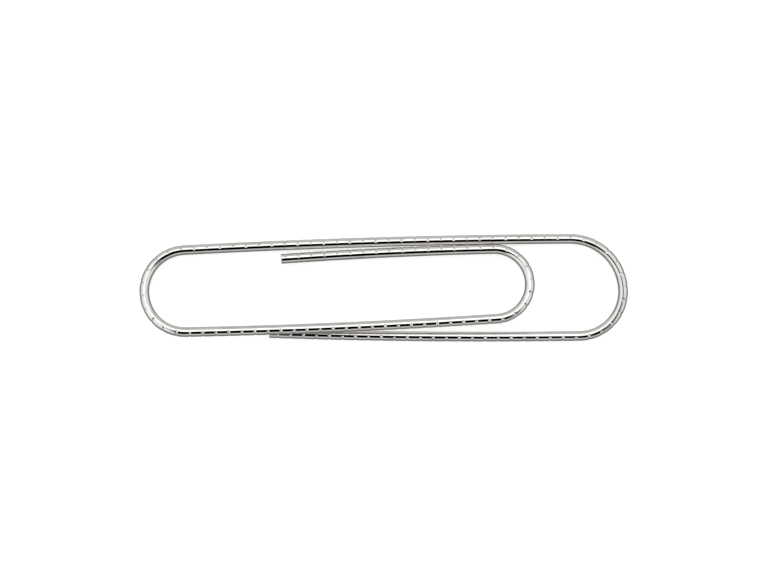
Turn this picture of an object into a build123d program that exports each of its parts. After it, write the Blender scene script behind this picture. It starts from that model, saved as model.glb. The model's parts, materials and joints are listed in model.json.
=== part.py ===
from build123d import *
import os
from math import asin, degrees

# Large non-skid paper clip: one serrated steel wire, bent three times into two nested loops.
# From its outer free end the wire runs: outer leg, outer bend, spine, heel, tongue leg, nose, tongue tip.
# X runs along the clip, heel at -X and outer bend at +X. Y runs across it, spine at +Y. Z is up.
# The origin lies on the desk under the middle of the clip. Millimetres and degrees.

# Wire
wire_diameter = 1.0
end_chamfer = 0.08  # broken edge of the two sheared ends

# Legs, measured along the centre line
spine_length = 39.6
outer_leg_setback = 7.8  # the outer leg is this much shorter than the spine
tongue_leg_setback = 7.8  # the tongue leg is this much shorter than the spine
tongue_tip_setback = 10.0  # the tongue tip is this much shorter than the tongue leg
leg_bow = 2.8  # every leg keeps a slight bow, the same way round as the bends, in two small sets

# Bends, to the centre line
outer_bend_leg_radius = 4.54  # half of the outer bend beside the outer leg
outer_bend_spine_radius = 5.42  # half of the outer bend beside the spine
heel_radius = 4.22
outer_overbend = 2.2  # the outer leg closes on the spine by this much towards its free end
heel_overbend = 0.8  # the tongue leg closes on the spine by this much towards the nose
nose_overbend = 0.2  # the tongue tip opens from the tongue leg by this much towards its free end
spine_slope = 1.67  # lean of the spine to the clip's long axis

# Fits between the loops
nest_gap = 0.02  # nose to spine
stack_gap = 0.02  # tongue plane over the outer leg

# Serration, pressed into the outer side of the legs
groove_pitch = 1.33
groove_width = 0.24
groove_depth = 0.055

# Sizes that follow from these
wire_radius = wire_diameter / 2
outer_leg_length = spine_length - outer_leg_setback
tongue_leg_length = spine_length - tongue_leg_setback
tongue_tip_length = tongue_leg_length - tongue_tip_setback
outer_leg_heading = spine_slope - outer_overbend - leg_bow / 2

os.makedirs("parts", exist_ok=True)


def leg(start, heading, length):
    """A leg in three straight runs: a quarter, a half and a quarter of its length, at half its bow each."""
    first_set = start + heading * (length / 4)
    second_set = first_set + heading.rotate(Axis.Z, leg_bow / 2) * (length / 2)
    end = second_set + heading.rotate(Axis.Z, leg_bow) * (length / 4)
    return Polyline(start, first_set, second_set, end)


def half_bend(before, radius, overbend):
    """The next half of a hairpin bend, up to its middle or on from it."""
    return JernArc(before @ 1, before % 1, radius, (180 - leg_bow + overbend) / 2)


def nested_radius(tongue_leg, spine):
    """Radius of the nose that leaves the tongue leg's end and stops a nest gap short of the spine."""
    radii = []
    for run in spine.edges():
        away = (run % 0).rotate(Axis.Z, 90)
        room = away.dot(tongue_leg @ 1 - run @ 0) - wire_diameter - nest_gap
        radii.append(room / (1 - away.dot((tongue_leg % 1).rotate(Axis.Z, 90))))
    return min(radii)


# The wire's centre line, bent flat
with BuildLine() as flat_route:
    outer_leg = leg(Vector(0, 0), Vector(1, 0).rotate(Axis.Z, outer_leg_heading), outer_leg_length)
    outer_bend_leg_half = half_bend(outer_leg, outer_bend_leg_radius, outer_overbend)
    outer_bend_spine_half = half_bend(outer_bend_leg_half, outer_bend_spine_radius, outer_overbend)
    spine = leg(outer_bend_spine_half @ 1, outer_bend_spine_half % 1, spine_length)
    heel_spine_half = half_bend(spine, heel_radius, heel_overbend)
    heel_tongue_half = half_bend(heel_spine_half, heel_radius, heel_overbend)
    tongue_leg = leg(heel_tongue_half @ 1, heel_tongue_half % 1, tongue_leg_length)
    nose_radius = nested_radius(tongue_leg, spine)
    nose_leg_half = half_bend(tongue_leg, nose_radius, nose_overbend)
    nose_tip_half = half_bend(nose_leg_half, nose_radius, nose_overbend)
    tongue_tip = leg(nose_tip_half @ 1, nose_tip_half % 1, tongue_tip_length)

# From the heel on, the wire is turned up about the spine's end, until its plane clears the outer leg's end
turn_up_axis = Axis(spine @ 1, spine % 1)
spine_end_plane = Plane(spine @ 1, x_dir=spine % 1, z_dir=(0, 0, 1))
outer_leg_span = spine_end_plane.to_local_coords(outer_leg @ 0).Y
tongue_tilt = degrees(asin((wire_diameter + stack_gap) / outer_leg_span))
loop_normal = Vector(0, 0, 1)
tongue_normal = loop_normal.rotate(Axis((0, 0, 0), spine % 1), tongue_tilt)
wire = {
    "outer_leg": outer_leg,
    "outer_bend_leg_half": outer_bend_leg_half,
    "outer_bend_spine_half": outer_bend_spine_half,
    "spine": spine,
    "heel_spine_half": heel_spine_half.rotate(turn_up_axis, tongue_tilt),
    "heel_tongue_half": heel_tongue_half.rotate(turn_up_axis, tongue_tilt),
    "tongue_leg": tongue_leg.rotate(turn_up_axis, tongue_tilt),
    "nose_leg_half": nose_leg_half.rotate(turn_up_axis, tongue_tilt),
    "nose_tip_half": nose_tip_half.rotate(turn_up_axis, tongue_tilt),
    "tongue_tip": tongue_tip.rotate(turn_up_axis, tongue_tilt),
}

# The bent wire lies on the desk, centred on the origin
route_middle = Compound(children=list(wire.values())).bounding_box().center()
on_desk = Location((-route_middle.X, -route_middle.Y, wire_radius))
wire = {name: route.moved(on_desk) for name, route in wire.items()}
leg_normals = {
    "outer_leg": loop_normal,
    "spine": loop_normal,
    "tongue_leg": tongue_normal,
    "tongue_tip": tongue_normal,
}
free_ends = {"outer_leg": wire["outer_leg"] @ 0, "tongue_tip": wire["tongue_tip"] @ 1}

# Cutter of one serration: a straight notch across the outer side of the wire, +X outwards, Z along the wire
with BuildPart() as serration:
    with Locations((wire_radius, 0, 0)):
        Box(2 * groove_depth, wire_diameter, groove_width)


def serration_planes(run, normal):
    """Cross-section planes of a straight run at an even pitch, X pointing to the wire's outer side."""
    count = round(run.length / groove_pitch)
    spots = [run @ ((i + 0.5) / count) for i in range(count)]
    return [Plane(spot, x_dir=(run % 0).cross(normal), z_dir=run % 0) for spot in spots]


# One solid for each stretch of the wire: the legs, and the two halves of every bend
for name, route in wire.items():
    with BuildPart() as stretch:
        with BuildSketch(Plane(route @ 0, z_dir=route % 0)):
            Circle(wire_radius)
        sweep(path=route, transition=Transition.RIGHT)
        if name in free_ends:
            end_face = stretch.faces().sort_by_distance(free_ends[name])[0]
            chamfer(end_face.edges(), end_chamfer)
        if name in leg_normals:
            for run in route.edges():
                with Locations(*serration_planes(run, leg_normals[name])):
                    add(serration.part, mode=Mode.SUBTRACT)
    stretch.part.label = name
    export_step(stretch.part, f"parts/{name}.step")

print("wire length", round(sum(route.length for route in wire.values()), 1))
print("nose radius", round(nose_radius, 3), "tongue tilt", round(tongue_tilt, 2))
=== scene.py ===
import json
from math import atan2, ceil, cos, pi, radians

import bmesh
import bpy
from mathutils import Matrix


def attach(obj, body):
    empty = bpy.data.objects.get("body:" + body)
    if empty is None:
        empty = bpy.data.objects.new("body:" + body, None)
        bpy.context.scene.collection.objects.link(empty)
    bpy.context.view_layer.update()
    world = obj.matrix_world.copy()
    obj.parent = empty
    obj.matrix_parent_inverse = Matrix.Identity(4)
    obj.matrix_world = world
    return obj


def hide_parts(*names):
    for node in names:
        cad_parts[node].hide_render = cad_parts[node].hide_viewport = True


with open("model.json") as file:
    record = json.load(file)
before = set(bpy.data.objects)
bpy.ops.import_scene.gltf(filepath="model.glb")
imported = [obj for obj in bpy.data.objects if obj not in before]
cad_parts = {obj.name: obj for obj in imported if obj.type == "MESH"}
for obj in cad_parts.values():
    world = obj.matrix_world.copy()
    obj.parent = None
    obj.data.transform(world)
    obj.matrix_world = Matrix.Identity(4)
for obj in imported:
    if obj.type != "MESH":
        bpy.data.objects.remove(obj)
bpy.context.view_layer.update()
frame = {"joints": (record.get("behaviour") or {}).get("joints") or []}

from bl_math import smoothstep
from mathutils import Matrix, Vector

bl_info = {
    "name": "Non-skid Paper Clip",
    "version": (1, 0, 0),
    "blender": (4, 5, 0),
    "location": "View3D > Sidebar > Paper Clip",
    "description": "Bends the serrated wire of a large paper clip and lays it on a pale table",
    "category": "Object",
}

JOINTS = {joint["name"]: joint for joint in frame["joints"]}
MM = 0.001
UP = Vector((0.0, 0.0, 1.0))
WHITE = (1.0, 1.0, 1.0, 1.0)

# Rings across a groove, in groove widths from its middle: close at its edges and at its bottom
GROOVE_RINGS = (-0.54, -0.5, -0.44, -0.08, -0.02, 0.02, 0.08, 0.44, 0.5, 0.54)
SEAM_GUARD = 0.02 * MM  # a narrow last ring keeps the shading straight up to a seam
LAND_TURN = radians(4.5)  # the most that a bend turns from one ring to the next
SEAM_LIMIT = 0.02 * MM  # how far a wire may end from the joint that it runs to
SEAM_GAP = 0.002 * MM  # each wire ends this far short of a seam, so that its face turns freely
BEVEL_RINGS = 3
SHEARED = 1  # the cut ends' place in the wire's materials

# Patterns of the finish, in noise cells to the millimetre: along the wire, outwards and upwards
DRAWN_LINES = (0.12, 18.0, 18.0)
DULL_PATCHES = (0.7, 1.3, 1.3)
SCRATCHES = (1.1, 9.0, 9.0)
SHEAR_RIDGES = (2.0, 3.0, 26.0)  # along X, Y and Z

# Where a pattern starts and where it is full: noise runs from 0 to 1, about 0.5 on average
DULL_RANGE = (0.46, 0.72)
SCRATCH_RANGE = (0.66, 0.74)
SOIL_RANGE = (0.3, 0.7)
RIDGE_RANGE = (0.3, 0.7)
GROOVE_BOTTOM = (0.6, 0.95)  # in shares of a groove's depth
LEAST_SOIL = 0.4  # the share of the soil that every groove has

# Relief that is too fine for the mesh
RELIEF_DEPTH = 0.02 * MM
DRAWN_STRENGTH = 0.06
SCRATCH_RELIEF = 0.6  # against the drawing lines
RIDGE_STRENGTH = 0.4
RIDGE_ROUGHNESS = 0.2  # how much rougher the ridges are than the cut steel between them

TABLE_HALF = 1.5  # half the table's side, in metres
TABLE_ROUGHNESS = 0.9
NEAREST_SEEN = 5.0 * MM  # the camera sees nothing closer than this

# Edges in the studio, by the upward part of a direction
WALL_FADE = (cos(radians(110.0)), cos(radians(54.0)))
SHEET_EDGE = (cos(radians(50.0)), cos(radians(43.0)))
FLAG_FOOT = (0.2, 0.3)

# Edges of the far and the near wall, by the part of a direction that points there
FAR_WALL_EDGE = (0.5, 0.84)
NEAR_WALL_EDGE = (0.45, 0.8)
NEAR_WALL_LEAN = 0.1  # the near wall reaches further round on the right
SHEET_LEAN = 0.15  # the light sheet is brighter on the left

# Edges of the key light, the flag and the net, by slope: sideways or towards the near side, per height
KEY_NEAR_EDGE = (0.06, 0.28)
KEY_ENDS = (0.13, 0.4)
FLAG_FAR_EDGE = (-0.19, -0.13)
FLAG_NEAR_EDGE = (1.12, 1.25)
FLAG_SOFTNESS = (-0.03, 0.03)
FLAG_LEFT = 0.245  # how far the flag reaches to the left of straight up
FLAG_LEFT_SLANT = 0.15  # how much further it reaches there, per step towards the near side
FLAG_RIGHT = 0.13
FLAG_RIGHT_SLANT = 0.6
NET_FAR_EDGE = (-0.02, 0.12)
NET_SOFTNESS = (-0.1, 0.1)
NET_RIGHT = 0.42
NET_RIGHT_SLANT = 0.72
NET_SHADE = 0.78  # the share of the light that the net holds back


def length(name, description, millimetres):
    """A length property, in metres, from a size in millimetres."""
    return bpy.props.FloatProperty(
        name=name, description=description, default=millimetres * MM, min=0.0, precision=5, unit="LENGTH"
    )


def angle(name, description, in_degrees):
    """An angle property, in radians, from degrees."""
    return bpy.props.FloatProperty(
        name=name, description=description, default=radians(in_degrees), precision=3, subtype="ANGLE"
    )


def share(name, description, default):
    """A number from 0 to 1."""
    return bpy.props.FloatProperty(
        name=name, description=description, default=default, min=0.0, max=1.0, subtype="FACTOR"
    )


def amount(name, description, default):
    """A plain number, such as a strength of light."""
    return bpy.props.FloatProperty(name=name, description=description, default=default, min=0.0)


def colour(name, description, default):
    """A colour property, in linear values."""
    return bpy.props.FloatVectorProperty(
        name=name, description=description, default=default, size=3, min=0.0, max=1.0, subtype="COLOR"
    )


class ClipWire(bpy.types.PropertyGroup):
    """Sizes of the bent wire, to its centre line."""

    diameter: length("Wire", "Diameter of the wire", 1.0)
    end_bevel: length("End bevel", "Broken edge of the two sheared ends", 0.08)
    sides: bpy.props.IntProperty(name="Sides", description="Sides of the round wire", default=72, min=12)
    spine_length: length("Spine", "Length of the spine", 39.6)
    outer_leg_length: length("Outer leg", "Length of the free outer leg", 31.8)
    tongue_leg_length: length("Tongue leg", "Length of the inner loop's leg", 31.8)
    tongue_tip_length: length("Tongue tip", "Length of the free inner leg", 21.8)
    leg_bow: angle("Leg bow", "How far a leg turns from one end to the other", 2.8)
    outer_leg_radius: length("Outer bend, leg side", "Radius of the outer bend beside the outer leg", 4.54)
    outer_spine_radius: length("Outer bend, spine side", "Radius of the outer bend beside the spine", 5.42)
    heel_radius: length("Heel", "Radius of the heel", 4.22)
    nose_radius: length("Nose", "Radius of the inner bend", 3.584)
    outer_overbend: angle("Outer overbend", "How far the outer leg closes on the spine", 2.2)
    heel_overbend: angle("Heel overbend", "How far the tongue leg closes on the spine", 0.8)
    nose_overbend: angle("Nose overbend", "How far the tongue tip opens from the tongue leg", 0.2)


class ClipSerration(bpy.types.PropertyGroup):
    """Sizes of the grooves, rolled at an even pitch into the wire's outer side before it is bent."""

    first: length("First", "From the outer leg's free end to the first groove", 0.85)
    pitch: length("Pitch", "From one groove to the next", 1.329)
    width: length("Width", "Width of a groove at the surface", 0.27)
    depth: length("Depth", "Depth of a groove", 0.048)
    short_wrap: angle("Short wrap", "How far one groove runs round the wire, to each side of outwards", 83.0)
    long_wrap: angle("Long wrap", "How far the next groove runs round the wire", 91.0)
    run_out: angle("Run-out", "Turn over which a groove's end rises to the surface", 4.0)


class ClipPlating(bpy.types.PropertyGroup):
    """Finish of the wire."""

    steel: colour("Plating", "Colour of the bright plating", (0.795, 0.78, 0.755))
    dull: colour("Dull plating", "Colour where the plating is a little dulled", (0.70, 0.68, 0.65))
    soil: colour("Soil", "Colour of the film at the bottom of a groove", (0.30, 0.285, 0.27))
    cut: colour("Cut steel", "Colour of the sheared ends", (0.42, 0.41, 0.40))
    roughness: share("Roughness", "Roughness of the clean plating", 0.04)
    dull_roughness: share("Dull roughness", "Roughness of dulled plating", 0.12)
    groove_roughness: share("Groove roughness", "Roughness that the roller leaves in the grooves", 0.2)
    cut_roughness: share("Cut roughness", "Roughness of the sheared ends between their ridges", 0.26)
    scratched: share("Scratches", "How strongly handling scratches dull the plating", 0.35)
    soiled: share("Soiling", "How strongly the film colours a groove's bottom", 0.5)


class ClipStudio(bpy.types.PropertyGroup):
    """The table, the light and the camera."""

    picture_width: length("Picture width", "Width of the table that the camera sees", 78.53)
    lens: amount("Lens", "Focal length, in millimetres", 85.0)
    table: colour("Table", "Colour of the table", (0.62, 0.62, 0.615))
    table_glow: amount("Table glow", "Light that comes through the table", 0.7)
    key: amount("Key light", "Brightness of the light sheet beyond the clip", 1.7)
    fill: amount("Fill light", "Brightness of the rest of the light sheet", 1.0)
    far_wall: amount("Far wall", "Brightness of the room beyond the clip", 0.64)
    side_wall: amount("Side walls", "Brightness of the room at both sides, beside the light sheet", 0.98)
    side_foot: amount("Side foot", "Brightness that the wire's underside mirrors at both sides", 0.26)
    near_wall: amount("Near wall", "Brightness of the room on the near side, beside the light sheet", 0.72)
    near_foot: amount("Near foot", "Brightness that the wire's underside mirrors on the near side", 0.2)


class Shade:
    """One socket of a node tree. Arithmetic on it adds Math nodes."""

    FIRST_COLOUR, SECOND_COLOUR, MIXED_COLOUR = 6, 7, 2  # colour sockets of a Mix node

    def __init__(self, tree, socket=None):
        self.tree = tree
        self.socket = socket

    def node(self, kind, settings=None, sockets=None, output=0):
        """Adds a node: its settings first, then the values or links of its sockets."""
        made = self.tree.nodes.new(kind)
        for name, value in (settings or {}).items():
            setattr(made, name, value)
        for name, value in (sockets or {}).items():
            if isinstance(value, Shade):
                self.tree.links.new(value.socket, made.inputs[name])
            else:
                made.inputs[name].default_value = value
        return Shade(self.tree, made.outputs[output] if made.outputs else None)

    def output(self, name):
        """Another output of the node that this socket belongs to."""
        return Shade(self.tree, self.socket.node.outputs[name])

    def math(self, operation, first, second=0.0):
        return self.node("ShaderNodeMath", {"operation": operation}, {0: first, 1: second})

    def __add__(self, other):
        return self.math("ADD", self, other)

    def __radd__(self, other):
        return self.math("ADD", other, self)

    def __sub__(self, other):
        return self.math("SUBTRACT", self, other)

    def __rsub__(self, other):
        return self.math("SUBTRACT", other, self)

    def __mul__(self, other):
        return self.math("MULTIPLY", self, other)

    def __rmul__(self, other):
        return self.math("MULTIPLY", other, self)

    def __truediv__(self, other):
        return self.math("DIVIDE", self, other)

    def __rtruediv__(self, other):
        return self.math("DIVIDE", other, self)

    def __neg__(self):
        return self.math("MULTIPLY", self, -1.0)

    def __abs__(self):
        return self.math("ABSOLUTE", self)

    def fade(self, low, high):
        """0 at low, 1 at high, smooth between."""
        return self.node(
            "ShaderNodeMapRange",
            {"interpolation_type": "SMOOTHSTEP"},
            {"Value": self, "From Min": low, "From Max": high},
        )

    def scaled(self, factors):
        """This vector, stretched along its axes."""
        return self.node("ShaderNodeVectorMath", {"operation": "MULTIPLY"}, {0: self, 1: factors})

    def noise(self, detail):
        """Noise over this vector, one cell to a unit."""
        return self.node("ShaderNodeTexNoise", {}, {"Vector": self, "Scale": 1.0, "Detail": detail}, "Fac")

    def mixed(self, first, second):
        """One colour or the other, by this share."""
        return self.node(
            "ShaderNodeMix",
            {"data_type": "RGBA"},
            {"Factor": self, self.FIRST_COLOUR: first, self.SECOND_COLOUR: second},
            self.MIXED_COLOUR,
        )


def opaque(colour_value):
    """A colour property with its alpha."""
    return (*colour_value, 1.0)


def new_material(name):
    """An empty node material, and the shade that adds nodes to it."""
    material = bpy.data.materials.new(name)
    material.use_nodes = True
    material.node_tree.nodes.clear()
    return material, Shade(material.node_tree)


def plated_steel(plating):
    """Bright plated wire: drawing lines along it, dulled patches, scratches, and soil in the grooves."""
    material, shade = new_material("plated_steel")
    straight = shade.node("ShaderNodeAttribute", {"attribute_name": "straight_wire"}, output="Vector")
    groove = shade.node("ShaderNodeAttribute", {"attribute_name": "groove"}, output="Fac")
    drawn = straight.scaled(DRAWN_LINES).noise(detail=3.0)
    mottle = straight.scaled(DULL_PATCHES).noise(detail=3.0)
    scratch = straight.scaled(SCRATCHES).noise(detail=1.0).fade(*SCRATCH_RANGE)
    dulled = mottle.fade(*DULL_RANGE)
    soil = groove.fade(*GROOVE_BOTTOM) * (LEAST_SOIL + (1.0 - LEAST_SOIL) * mottle.fade(*SOIL_RANGE))
    base = dulled.mixed(opaque(plating.steel), opaque(plating.dull))
    base = (plating.scratched * scratch).mixed(base, opaque(plating.dull))
    base = (plating.soiled * soil).mixed(base, opaque(plating.soil))
    rough = plating.roughness + (plating.dull_roughness - plating.roughness) * (0.5 * dulled + 0.5 * scratch)
    rough = rough + (plating.groove_roughness - rough) * groove
    lines = shade.node(
        "ShaderNodeBump",
        {},
        {"Strength": DRAWN_STRENGTH, "Distance": RELIEF_DEPTH, "Height": drawn + SCRATCH_RELIEF * scratch},
    )
    surface = shade.node(
        "ShaderNodeBsdfPrincipled",
        {},
        {"Base Color": base, "Metallic": 1.0, "Roughness": rough, "Normal": lines},
    )
    shade.node("ShaderNodeOutputMaterial", {}, {"Surface": surface})
    return material


def sheared_steel(plating):
    """The bare cut end of the wire: dull grey, with the shear's fine ridges."""
    material, shade = new_material("sheared_steel")
    place = shade.node("ShaderNodeTexCoord", output="Object")
    ridges = place.scaled([cells / MM for cells in SHEAR_RIDGES]).noise(detail=2.0)
    base = ridges.fade(*RIDGE_RANGE).mixed(opaque(plating.cut), opaque(plating.dull))
    rough = plating.cut_roughness + RIDGE_ROUGHNESS * ridges
    relief = shade.node(
        "ShaderNodeBump",
        {},
        {"Strength": RIDGE_STRENGTH, "Distance": RELIEF_DEPTH, "Height": ridges},
    )
    surface = shade.node(
        "ShaderNodeBsdfPrincipled",
        {},
        {"Base Color": base, "Metallic": 1.0, "Roughness": rough, "Normal": relief},
    )
    shade.node("ShaderNodeOutputMaterial", {}, {"Surface": surface})
    return material


def wire_materials(plating):
    """The wire's two finishes, made once."""
    found = [bpy.data.materials.get(name) for name in ("plated_steel", "sheared_steel")]
    return found if all(found) else [plated_steel(plating), sheared_steel(plating)]


class WireBender:
    """Feeds a ring of vertices along a route of arcs, as a bending machine feeds its wire."""

    def __init__(self, wire, serration, start, place, heading, normal, sense=1.0):
        self.serration = serration
        self.start = start
        self.place = place
        self.heading = heading
        self.normal = normal
        self.sense = sense
        self.fed = 0.0
        self.dents = []
        self.bm = bmesh.new()
        self.straight = self.bm.verts.layers.float_vector.new("straight_wire")
        self.groove = self.bm.verts.layers.float.new("groove")
        turned = Matrix((self.outward(), normal, heading)).transposed().to_4x4()
        self.ring = bmesh.ops.create_circle(
            self.bm, segments=wire.sides, radius=wire.diameter / 2, matrix=Matrix.Translation(place) @ turned
        )["verts"]
        self.rim = list(self.bm.edges)
        self.seams = [(self.ring, heading)]
        self.first_rim = self.rim
        for vert in self.ring:
            offset = vert.co - place
            unbent = Vector((start, offset.dot(self.outward()), sense * offset.dot(normal)))
            vert[self.straight] = unbent / MM

    def outward(self):
        """Away from the bend's centre."""
        return self.heading.cross(self.normal)

    def grooves(self, total):
        """The grooves that fall on this piece: how far along it, and how far round the wire they run."""
        spec = self.serration
        found = []
        for k in range(round((self.start + total) / spec.pitch) + 1):
            along = self.sense * (spec.first + k * spec.pitch - self.start)
            if spec.width < along < total - spec.width:
                found.append((along, spec.short_wrap if k % 2 else spec.long_wrap))
        return found

    def feed(self, distance, radius, grooves):
        """Draws the ring on by a distance round an arc, and notes how deep a groove is there."""
        turn = distance / radius
        centre = self.place - self.outward() * radius
        spun = bmesh.ops.spin(
            self.bm, geom=self.ring + self.rim, cent=centre, axis=self.normal, angle=turn, steps=1
        )["geom_last"]
        self.ring = [item for item in spun if isinstance(item, bmesh.types.BMVert)]
        self.rim = [item for item in spun if isinstance(item, bmesh.types.BMEdge)]
        swing = Matrix.Rotation(turn, 3, self.normal)
        self.place = centre + swing @ (self.place - centre)
        self.heading = swing @ self.heading
        self.fed += distance
        for vert in self.ring:
            vert[self.straight].x = (self.start + self.sense * self.fed) / MM
        for along, wrap in grooves:
            deep = 1.0 - abs(self.fed - along) / (self.serration.width / 2)
            if deep > 0.0:
                section = (self.place.copy(), self.outward(), self.normal.copy())
                self.dents.append((self.ring, *section, deep, wrap))

    def bend(self, arcs, end_bevel=0.0):
        """Feeds the wire round arcs, each a radius, a turn and a normal, with rings close at the grooves."""
        total = run(arcs)
        grooves = self.grooves(total)
        stops = [SEAM_GUARD, total - SEAM_GUARD - end_bevel]
        stops += [along + ring * self.serration.width for along, _ in grooves for ring in GROOVE_RINGS]
        end = 0.0
        for radius, turn, normal in arcs:
            self.normal = normal
            start, end = end, end + radius * turn
            for stop in [*sorted(stop for stop in stops if start < stop < end), end]:
                steps = ceil((stop - self.fed) / (radius * LAND_TURN))
                for step in range(steps):
                    self.feed((stop - self.fed) / (steps - step), radius, grooves)

    def dent(self):
        """Presses the noted rings in on the wire's outer side."""
        run_out = self.serration.run_out
        for ring, place, outward, normal, deep, wrap in self.dents:
            for vert in ring:
                offset = vert.co - place
                around = abs(atan2(offset.dot(normal), offset.dot(outward)))
                pressed = deep * smoothstep(0.0, run_out, wrap + run_out / 2 - around)
                vert.co -= offset.normalized() * pressed * self.serration.depth
                vert[self.groove] = pressed

    def close(self, end_bevel=0.0):
        """Caps both ends, breaks the edge of a free one, and shades the wire smooth up to its edges."""
        if not end_bevel:
            self.seams.append((self.ring, -self.heading))
        for ring, inwards in self.seams:
            bmesh.ops.translate(self.bm, vec=inwards * SEAM_GAP, verts=ring)
        ends = []
        for rim in (self.first_rim, self.rim):
            ends += bmesh.ops.contextual_create(self.bm, geom=rim)["faces"]
        bmesh.ops.recalc_face_normals(self.bm, faces=self.bm.faces)
        for face in self.bm.faces:
            face.smooth = True
        for face in ends:
            face.smooth = False
            face.material_index = SHEARED
            for edge in face.edges:
                edge.smooth = False
        if end_bevel:
            bmesh.ops.bevel(
                self.bm,
                geom=list(ends[-1].edges),
                affect="EDGES",
                offset=end_bevel,
                offset_type="OFFSET",
                segments=BEVEL_RINGS,
                profile=0.5,
                material=-1,
            )

    def finish(self, name, body, nodes, materials):
        """Turns the drawn wire into a piece that rides on its body and stands for its nodes."""
        mesh = bpy.data.meshes.new(name)
        self.bm.to_mesh(mesh)
        self.bm.free()
        for material in materials:
            mesh.materials.append(material)
        piece = bpy.data.objects.new(name, mesh)
        bpy.context.scene.collection.objects.link(piece)
        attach(piece, body)
        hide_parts(*nodes)


def joint_place(name):
    """Where a joint cuts the wire, in the middle of its bend."""
    return Vector(JOINTS[name]["pos_m"])


def joint_axis(name):
    """The wire's own direction at a joint."""
    return Vector(JOINTS[name]["axis"]).normalized()


def tongue_normal():
    """Upwards from the tongue's plane, which holds the joints of heel and nose and the wire at the heel."""
    across = joint_place("tip_lift") - joint_place("tongue_lift")
    return joint_axis("tongue_lift").cross(across).normalized()


def half_bend(wire, radius, overbend, normal):
    """The arc of half a hairpin bend, between two bowed legs."""
    return radius, (pi - wire.leg_bow + overbend) / 2, normal


def leg(wire, length_along, normal):
    """The arc of one slightly bowed leg."""
    return length_along / wire.leg_bow, wire.leg_bow, normal


def outer_leg_route(wire):
    """The outer leg's arcs, from the middle of the outer bend to its free end."""
    return (
        half_bend(wire, wire.outer_leg_radius, wire.outer_overbend, -UP),
        leg(wire, wire.outer_leg_length, -UP),
    )


def spine_route(wire):
    """The spine's arcs, from the middle of the outer bend to the middle of the heel."""
    return (
        half_bend(wire, wire.outer_spine_radius, wire.outer_overbend, UP),
        leg(wire, wire.spine_length, UP),
        half_bend(wire, wire.heel_radius, wire.heel_overbend, tongue_normal()),
    )


def tongue_route(wire):
    """The tongue's arcs, from the middle of the heel to the middle of the nose."""
    return (
        half_bend(wire, wire.heel_radius, wire.heel_overbend, tongue_normal()),
        leg(wire, wire.tongue_leg_length, tongue_normal()),
        half_bend(wire, wire.nose_radius, wire.nose_overbend, tongue_normal()),
    )


def tongue_tip_route(wire):
    """The tongue tip's arcs, from the middle of the nose to its free end."""
    return (
        half_bend(wire, wire.nose_radius, wire.nose_overbend, tongue_normal()),
        leg(wire, wire.tongue_tip_length, tongue_normal()),
    )


def run(*routes):
    """Length of wire in some routes."""
    return sum(radius * turn for route in routes for radius, turn, _ in route)


def meet(bender, joint):
    """Stops the script if a wire doesn't end at the joint that it runs to."""
    missed = (bender.place - joint_place(joint)).length
    if missed > SEAM_LIMIT:
        raise RuntimeError(f"the wire ends {missed / MM:.3f} mm from {joint}: its sizes aren't the frame's")


class CLIP_OT_outer_leg(bpy.types.Operator):
    """Bend the outer leg, from the middle of the outer bend to its free end"""

    bl_idname = "clip.outer_leg"
    bl_label = "Bend the Outer Leg"

    def execute(self, context):
        wire, serration = context.scene.clip_wire, context.scene.clip_serration
        place, heading = joint_place("spine_lift"), -joint_axis("spine_lift")
        route = outer_leg_route(wire)
        bender = WireBender(wire, serration, run(route), place, heading, -UP, sense=-1.0)
        bender.bend(route, wire.end_bevel)
        bender.dent()
        bender.close(wire.end_bevel)
        nodes = ("outer_leg", "outer_bend_leg_half")
        bender.finish("outer_leg_wire", "outer_leg", nodes, wire_materials(context.scene.clip_plating))
        return {"FINISHED"}


class CLIP_OT_spine_loop(bpy.types.Operator):
    """Bend the spine, from the middle of the outer bend to the middle of the heel"""

    bl_idname = "clip.spine_loop"
    bl_label = "Bend the Spine"

    def execute(self, context):
        wire, serration = context.scene.clip_wire, context.scene.clip_serration
        place, heading = joint_place("spine_lift"), joint_axis("spine_lift")
        start = run(outer_leg_route(wire))
        bender = WireBender(wire, serration, start, place, heading, UP)
        bender.bend(spine_route(wire))
        meet(bender, "tongue_lift")
        bender.dent()
        bender.close()
        nodes = ("outer_bend_spine_half", "spine", "heel_spine_half")
        bender.finish("spine_wire", "spine_loop", nodes, wire_materials(context.scene.clip_plating))
        return {"FINISHED"}


class CLIP_OT_tongue(bpy.types.Operator):
    """Bend the tongue, from the middle of the heel to the middle of the nose"""

    bl_idname = "clip.tongue"
    bl_label = "Bend the Tongue"

    def execute(self, context):
        wire, serration = context.scene.clip_wire, context.scene.clip_serration
        place, heading = joint_place("tongue_lift"), joint_axis("tongue_lift")
        start = run(outer_leg_route(wire), spine_route(wire))
        bender = WireBender(wire, serration, start, place, heading, tongue_normal())
        bender.bend(tongue_route(wire))
        meet(bender, "tip_lift")
        bender.dent()
        bender.close()
        nodes = ("heel_tongue_half", "tongue_leg", "nose_leg_half")
        bender.finish("tongue_wire", "tongue", nodes, wire_materials(context.scene.clip_plating))
        return {"FINISHED"}


class CLIP_OT_tongue_tip(bpy.types.Operator):
    """Bend the tongue's tip, from the middle of the nose to its free end"""

    bl_idname = "clip.tongue_tip"
    bl_label = "Bend the Tongue Tip"

    def execute(self, context):
        wire, serration = context.scene.clip_wire, context.scene.clip_serration
        place, heading = joint_place("tip_lift"), joint_axis("tip_lift")
        start = run(outer_leg_route(wire), spine_route(wire), tongue_route(wire))
        bender = WireBender(wire, serration, start, place, heading, tongue_normal())
        bender.bend(tongue_tip_route(wire), wire.end_bevel)
        bender.dent()
        bender.close(wire.end_bevel)
        nodes = ("nose_tip_half", "tongue_tip")
        bender.finish("tongue_tip_wire", "tongue_tip", nodes, wire_materials(context.scene.clip_plating))
        return {"FINISHED"}


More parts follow.
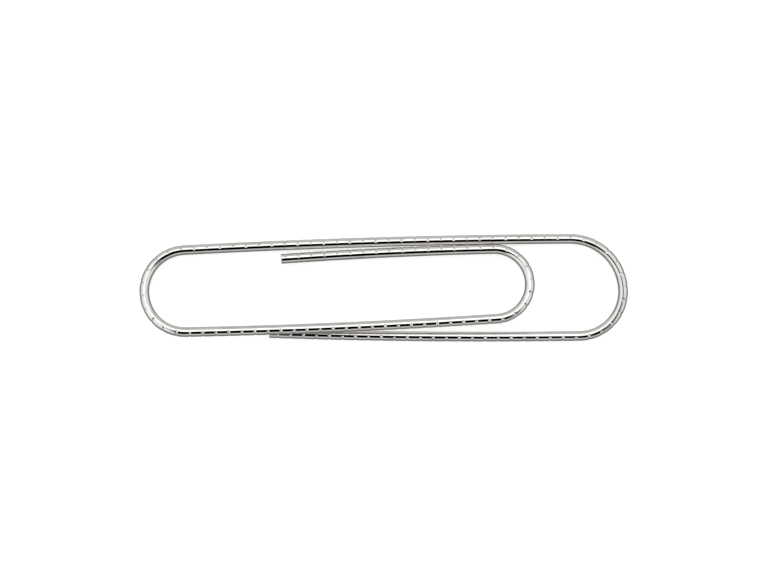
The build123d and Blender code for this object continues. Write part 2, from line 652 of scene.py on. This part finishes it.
def studio_room(studio):
    """The room that lights the clip: a light sheet overhead, walls darker downwards, a flag and a net."""
    world = bpy.data.worlds.new("studio_room")
    world.use_nodes = True
    world.node_tree.nodes.clear()
    shade = Shade(world.node_tree)
    direction = shade.node("ShaderNodeTexCoord", output="Generated")
    parts = shade.node("ShaderNodeSeparateXYZ", {}, {0: direction})
    right, far, up = (parts.output(axis) for axis in "XYZ")
    across, towards = right / up, -far / up

    height = up.fade(*WALL_FADE)
    side = studio.side_foot + (studio.side_wall - studio.side_foot) * height
    near = studio.near_foot + (studio.near_wall - studio.near_foot) * height
    walls = side + (studio.far_wall - side) * far.fade(*FAR_WALL_EDGE)
    walls = walls + (near - walls) * (NEAR_WALL_LEAN * right - far).fade(*NEAR_WALL_EDGE)

    key = (-towards).fade(*KEY_NEAR_EDGE) * (1.0 - abs(across).fade(*KEY_ENDS))
    sheet = studio.fill * (1.0 - SHEET_LEAN * right) + (studio.key - studio.fill) * key
    light = walls + (sheet - walls) * up.fade(*SHEET_EDGE)

    # A dark flag hangs on the near side and widens that way; right of it a net holds most of the light back
    hung = towards.fade(*FLAG_FAR_EDGE) * (1.0 - towards.fade(*FLAG_NEAR_EDGE)) * up.fade(*FLAG_FOOT)
    hung = hung * (across + FLAG_LEFT + FLAG_LEFT_SLANT * towards).fade(*FLAG_SOFTNESS)
    flag = (FLAG_RIGHT + FLAG_RIGHT_SLANT * towards - across).fade(*FLAG_SOFTNESS)
    net = (NET_RIGHT + NET_RIGHT_SLANT * towards - across).fade(*NET_SOFTNESS) * towards.fade(*NET_FAR_EDGE)
    light = light * (1.0 - hung * (flag + NET_SHADE * (1.0 - flag) * net))

    background = shade.node("ShaderNodeBackground", {}, {"Color": WHITE, "Strength": light})
    shade.node("ShaderNodeOutputWorld", {}, {"Surface": background})
    return world


def pale_table(studio):
    """The plain pale floor, a glowing light table."""
    material, shade = new_material("pale_table")
    surface = shade.node(
        "ShaderNodeBsdfPrincipled",
        {},
        {
            "Base Color": opaque(studio.table),
            "Roughness": TABLE_ROUGHNESS,
            "Specular IOR Level": 0.0,
            "Emission Color": WHITE,
            "Emission Strength": studio.table_glow,
        },
    )
    shade.node("ShaderNodeOutputMaterial", {}, {"Surface": surface})
    mesh = bpy.data.meshes.new("pale_table")
    bm = bmesh.new()
    bmesh.ops.create_grid(bm, x_segments=1, y_segments=1, size=TABLE_HALF)
    bm.to_mesh(mesh)
    bm.free()
    mesh.materials.append(material)
    table = bpy.data.objects.new("pale_table", mesh)
    bpy.context.scene.collection.objects.link(table)
    table.visible_glossy = False  # the wire mirrors the foot of the walls instead


class CLIP_OT_studio(bpy.types.Operator):
    """Lay the table, light the room and set the camera straight above the clip"""

    bl_idname = "clip.studio"
    bl_label = "Set the Studio"

    def execute(self, context):
        scene, studio = context.scene, context.scene.clip_studio
        pale_table(studio)
        scene.world = studio_room(studio)
        scene.view_settings.view_transform = "Standard"
        camera = bpy.data.cameras.new("camera")
        camera.lens = studio.lens
        camera.sensor_fit = "HORIZONTAL"
        camera.clip_start = NEAREST_SEEN
        height = studio.picture_width * camera.lens / camera.sensor_width
        looker = bpy.data.objects.new("camera", camera)
        looker.location = (0.0, 0.0, height + scene.clip_wire.diameter)
        scene.collection.objects.link(looker)
        scene.camera = looker
        return {"FINISHED"}


STEPS = (CLIP_OT_outer_leg, CLIP_OT_spine_loop, CLIP_OT_tongue, CLIP_OT_tongue_tip, CLIP_OT_studio)
GROUPS = {
    "clip_wire": ClipWire,
    "clip_serration": ClipSerration,
    "clip_plating": ClipPlating,
    "clip_studio": ClipStudio,
}


class CLIP_PT_panel(bpy.types.Panel):
    """Lists the clip's sizes and the steps that make it."""

    bl_label = "Paper Clip"
    bl_idname = "CLIP_PT_panel"
    bl_space_type = "VIEW_3D"
    bl_region_type = "UI"
    bl_category = "Paper Clip"

    def draw(self, context):
        for step in STEPS:
            self.layout.operator(step.bl_idname)
        for name, group in GROUPS.items():
            box = self.layout.box()
            for prop in group.__annotations__:
                box.prop(getattr(context.scene, name), prop)


def register():
    for made in (*GROUPS.values(), *STEPS, CLIP_PT_panel):
        bpy.utils.register_class(made)
    for name, group in GROUPS.items():
        setattr(bpy.types.Scene, name, bpy.props.PointerProperty(type=group))


def unregister():
    for name in GROUPS:
        delattr(bpy.types.Scene, name)
    for made in reversed((*GROUPS.values(), *STEPS, CLIP_PT_panel)):
        bpy.utils.unregister_class(made)


def main():
    register()
    bpy.ops.clip.outer_leg()
    bpy.ops.clip.spine_loop()
    bpy.ops.clip.tongue()
    bpy.ops.clip.tongue_tip()
    bpy.ops.clip.studio()


if __name__ == "__main__":
    main()
